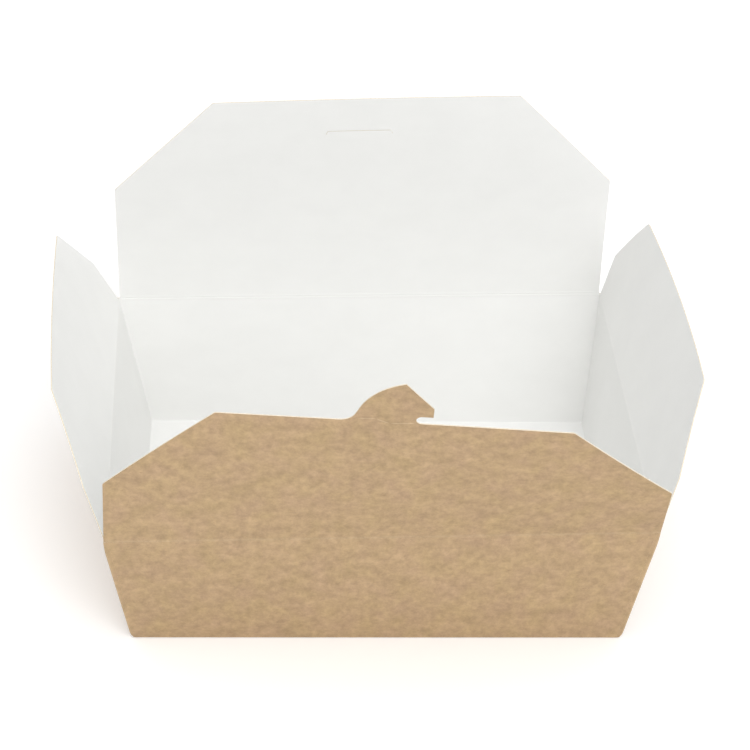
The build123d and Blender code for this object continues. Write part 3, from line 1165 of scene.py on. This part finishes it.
@dataclass
class CornerWeb:
    """A corner of the blank folded in two and glued flat on the outside of an end wall.

    The outer ply runs on from the long wall round the corner, across to the fold, and back under itself. It
    lifts towards the top, where the bend is pinched in and its peak runs up to the long wall's fold. The web
    starts a little above the floor, sunk in the wall, and swells to its full thickness.
    """

    board: Board
    tray: Tray
    end: Side
    long: Side
    gap: float = 0.06 * MM
    lift: float = 0.35 * MM
    lift_power: int = 8
    corner_round: float = 0.32 * MM
    top_drop: float = 0.6 * MM
    top_round: float = 6.0 * MM
    pinch: float = 5.0 * MM
    pinch_share: float = 0.6
    peak_reach: float = 1.6 * MM
    start: float = 0.012
    swelling: float = 0.035
    sink: float = 0.22 * MM
    proud: float = 0.02 * MM
    rows: int = 40
    bend_points: int = 6
    ply_steps: int = 14
    fold_steps: int = 8
    tuck: float = 1.2 * MM
    worn: float = 0.6

    def build(self) -> None:
        """Folds the web from the slopes of the two walls that it joins, and glues it to the tray."""
        angle, other = self.tray.slope(self.end), self.tray.slope(self.long)
        foot, corner = self.tray.half_base(self.end), self.tray.half_base(self.long)
        top = float(self.tray.folds[self.end][2]) - self.top_drop
        step_up = float(self.tray.folds[self.long][2]) - top
        rise = math.sin(angle) * self.end.out + math.cos(angle) * UP
        outward = math.cos(angle) * self.end.out - math.sin(angle) * UP
        slant, run = top / math.cos(angle), math.tan(other) * top
        edge_angle = math.atan2(run, slant)
        other_edge_angle = math.atan2(math.tan(angle) * top, top / math.cos(other))
        half_angle = (math.pi / 2 - edge_angle - other_edge_angle) / 2
        edge_length = math.hypot(slant, run)
        ways = edge_angle, edge_angle - half_angle
        way_edge, way_fold = (np.array([math.sin(way), math.cos(way)]) for way in ways)
        across = (way_fold * math.cos(half_angle) - way_edge) * edge_length
        full_width = float(np.linalg.norm(across))
        kind, along, up = self.section().T
        outer_ply = up > self.board.thickness
        middle, blank = [], []
        for share in self.start + (1 - self.start) * np.arange(self.rows + 1) / self.rows:
            width = full_width * share
            swollen = smooth_step(np.clip((share - self.start) / self.swelling, 0, 1))
            near_top = max(0.0, 1 - (1 - share) * edge_length / self.top_round) ** 2
            reach = np.where(kind < 0, along, kind * width + along)
            hump = np.sin(math.pi * np.clip(reach / width, 0, 1))
            raised = np.where(outer_ply, self.lift * share**self.lift_power * hump, 0.0)
            full = swollen * (1 - self.pinch_share * near_top * np.exp(-np.maximum(0.0, reach) / self.pinch))
            height = np.where(up > 0, (up + raised) * full - self.sink * (1 - full), up)
            peak = step_up * near_top * np.exp(-((reach / self.peak_reach) ** 2))
            peak = np.where((kind < 0) | outer_ply, peak, 0.0)
            edge = way_edge * edge_length * share
            flat = edge + across / full_width * reach[:, None] + way_edge * peak[:, None]
            row = self.end.out * foot + self.long.out * (corner + flat[:, :1])
            row = row + rise * flat[:, 1:] + outward * height[:, None]
            lengths = np.linalg.norm(np.diff(row, axis=0), axis=1)
            over = np.concatenate([[0.0], np.cumsum(lengths)])[:, None] - self.tuck
            middle.append(row)
            out = self.end.out * (foot + math.sin(angle) * slant * share + over)
            blank.append((self.long.out * (corner + edge_length * share) + out)[:, :2])
        self.sheet(self.tray.racked(np.array(middle)), np.array(blank))

    def section(self) -> Array:
        """Section of the web's middle line from the long wall round to the tucked ply.

        Returns:
            Share of the width (negative for none), distance along, and height above the wall, of each point.
        """
        t, r = self.board.thickness, self.corner_round
        high, low, side = 1.5 * t + self.gap, t / 2, t / 2 - self.proud
        fold = (high - low) / 2
        inset = fold + t / 2
        made = [(-1.0, side, -self.tuck), (-1.0, side, low)]
        for turn in np.linspace(0, math.pi / 2, self.bend_points):
            made.append((-1.0, side + r - r * math.cos(turn), high - r + r * math.sin(turn)))
        shares = np.arange(1, self.ply_steps + 1) / self.ply_steps
        made += [(k, (side + r) * (1 - k) - inset * k, high) for k in shares]
        for turn in math.pi * np.arange(1, self.fold_steps) / self.fold_steps:
            made.append((1.0, fold * math.sin(turn) - inset, low + fold + fold * math.cos(turn)))
        made += [(k, t * (1 - k) - inset * k, low) for k in shares[::-1]]
        return np.array(made)

    def sheet(self, middle: Array, blank: Array) -> None:
        """Gives the folded middle line its two faces and cut edges.

        Args:
            middle: Places by row and section point.
            blank: Blank places by row and section point.
        """
        normal = unit(np.cross(np.gradient(middle, axis=0), np.gradient(middle, axis=1)))
        bend_end = 2 + self.bend_points
        ply = bend_end + self.ply_steps // 2
        normal *= np.sign(np.dot(normal[len(normal) // 2, ply], self.end.out))
        half = self.board.thickness / 2
        places = np.array([middle + normal * half, middle - normal * half])
        rows, points = middle.shape[:2]
        count = rows * points
        a, b, c = places[0, 1, ply], places[0, 1, ply + 1], places[0, 2, ply]
        over = float(np.dot(np.cross(b - a, c - a), normal[1, ply])) <= 0
        kraft = turned_over(grid_faces(rows, points, closed=False), over)
        numbers = np.arange(count).reshape(rows, points)
        sides = numbers[0], numbers[1:, -1], numbers[-1, -2::-1], numbers[-2:0:-1, 0]
        border = np.concatenate(sides).tolist()
        edge = turned_over(band(border, [i + count for i in border]), over)
        slots = [Face.KRAFT, Face.LINING] * len(kraft) + [Face.EDGE] * len(edge)
        worn = np.zeros((rows, points))
        fold_start = bend_end + self.ply_steps
        worn[:, 2:bend_end] = worn[:, fold_start : fold_start + self.fold_steps - 1] = self.worn
        name, two = f"{self.long.word}_{self.end.word}_web", (np.array([blank] * 2), np.array([worn] * 2))
        made = self.board.mesh_object(name, places, both_sides(kraft, count) + edge, slots, *two)
        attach(made, "tray")


class Softbox(NamedTuple):
    """A square soft lamp: its name, place, the point it faces, its size in metres and its power in watts."""

    name: str
    place: Place
    aim: Place
    size: float
    power: float


@dataclass
class Studio:
    """Pale floor, soft lamps and the camera at the photograph's viewing angle."""

    camera_place: Place = (-59.3 * MM, -710.5 * MM, 629.6 * MM)
    camera_yaw: float = 4.83
    camera_pitch: float = -37.58
    camera_roll: float = 2.24
    focal_pixels: float = 2202.0
    picture_pixels: float = 750.0
    sensor: float = 36.0
    clip: tuple[float, float] = (0.05, 50.0)
    floor_size: float = 12.0
    floor_colour: str = "#F8F8F8"
    floor_drop: float = 0.02 * MM
    floor_lift: float = 0.2
    shadow_reach: tuple[float, float] = (0.35, 0.9)
    sky: float = 0.62
    lamps: tuple[Softbox, ...] = (
        Softbox("key_softbox", (0.42, -1.5, 1.5), (0.0, 0.0, 0.06), 1.4, 20.0),
        Softbox("top_softbox", (-0.1, -0.1, 2.0), (0.0, 0.0, 0.0), 1.8, 13.0),
    )

    def build(self) -> None:
        """Builds the floor, the lamps, the world and the camera."""
        self.build_floor()
        self.build_sky()
        self.build_lamps()
        self.build_camera()
        bpy.context.scene.view_settings.view_transform = "Standard"

    def build_floor(self) -> None:
        """Lays a matt white floor that keeps the box's shadow and shows pure white further off."""
        made, tree, shader = new_material("studio_floor_matt_white")
        path = add_node(tree, "LightPath")
        shown = path.outputs["Is Camera Ray"]
        for ray in ("Is Glossy Ray", "Is Transmission Ray"):
            either = add_node(tree, "Math", {"operation": "MAXIMUM"}, {0: shown, 1: path.outputs[ray]})
            shown = either.outputs["Value"]
        place = add_node(tree, "NewGeometry")
        distance = add_node(tree, "VectorMath", {"operation": "LENGTH"}, {0: place.outputs["Position"]})
        span = dict(zip(RANGE_SOCKETS, self.shadow_reach + (self.floor_lift, 1.0)))
        lift = add_node(tree, "MapRange", span, {"Value": distance.outputs["Value"]})
        strength = add_node(tree, "Math", {"operation": "MULTIPLY"}, {0: shown, 1: lift})
        matt = {"Base Color": linear(self.floor_colour), "Roughness": 1.0, "Specular IOR Level": 0.0}
        set_node(shader, matt | {"Emission Color": WHITE}, {"Emission Strength": strength})
        half = self.floor_size / 2
        mesh = bpy.data.meshes.new("studio_floor")
        corners = [(-half, -half, 0), (half, -half, 0), (half, half, 0), (-half, half, 0)]
        mesh.from_pydata(corners, [], [(0, 1, 2, 3)])
        mesh.materials.append(made)
        floor = place_object("studio_floor", mesh)
        floor.location.z = -self.floor_drop

    def build_sky(self) -> None:
        """Sets an even sky that shows pure white to the eye."""
        world = bpy.data.worlds.new("studio_sky")
        world.use_nodes = True
        bpy.context.scene.world = world
        tree = world.node_tree
        seen = add_node(tree, "LightPath").outputs["Is Camera Ray"]
        strength = add_node(tree, "MapRange", {"To Min": self.sky, "To Max": 1.0}, {"Value": seen})
        set_node(tree.nodes["Background"], {"Color": WHITE}, {"Strength": strength})

    def build_lamps(self) -> None:
        """Hangs the soft lamps and points each at its aim."""
        for softbox in self.lamps:
            lamp = bpy.data.lights.new(softbox.name, "AREA")
            lamp.shape = "SQUARE"
            lamp.size = softbox.size
            lamp.energy = softbox.power
            holder = place_object(softbox.name, lamp)
            holder.location = softbox.place
            holder.rotation_mode = "QUATERNION"
            facing = Vector(softbox.aim) - Vector(softbox.place)
            holder.rotation_quaternion = facing.to_track_quat("-Z", "Y")

    def build_camera(self) -> None:
        """Places the camera where the photograph was taken from."""
        yaw, pitch, roll = (math.radians(v) for v in (self.camera_yaw, self.camera_pitch, self.camera_roll))
        ahead = Vector((math.sin(yaw) * math.cos(pitch), math.cos(yaw) * math.cos(pitch), math.sin(pitch)))
        level = Vector((math.cos(yaw), -math.sin(yaw), 0.0))
        raised = level.cross(ahead)
        right = math.cos(roll) * level + math.sin(roll) * raised
        up = -math.sin(roll) * level + math.cos(roll) * raised
        lens = bpy.data.cameras.new("photo_camera")
        lens.sensor_width = self.sensor
        lens.lens = self.focal_pixels / self.picture_pixels * self.sensor
        lens.clip_start, lens.clip_end = self.clip
        camera = place_object("photo_camera", lens)
        turn = Matrix((right, up, -ahead)).transposed().to_4x4()
        camera.matrix_world = Matrix.Translation(self.camera_place) @ turn
        bpy.context.scene.camera = camera


def main() -> None:
    """Builds the box panel by panel, then the studio."""
    logging.basicConfig(level=logging.INFO, format="%(name)s: %(message)s")
    board = Board()
    board.dress()
    flaps = (
        LidFlap(board, "rear_lid", "lid_fold", Side.BACK, lean=5.9, least_lean=1.4),
        FrontFlap(board, "front_flap", "front_fold", Side.FRONT, lean=23.0, least_lean=9.0),
        EndFlap(board, "left_end_flap", "left_fold", Side.LEFT, lean=23.0, least_lean=17.0, bow=0.8 * MM),
        EndFlap(
            board,
            "right_end_flap",
            "right_fold",
            Side.RIGHT,
            lean=15.0,
            least_lean=7.9,
            leans_most_at=-1,
            bow=3.2 * MM,
        ),
    )
    tray = Tray(board, {flap.side: flap.fold for flap in flaps})
    tray.build_shell()
    for flap in flaps:
        flap.blank_start = float(tray.profile(flap.side).over[-1])
        flap.build()
        CreaseRoll(flap).build()
    for end in (Side.LEFT, Side.RIGHT):
        for long in (Side.FRONT, Side.BACK):
            CornerWeb(board, tray, end, long).build()
    Studio().build()


if __name__ == "__main__":
    main()
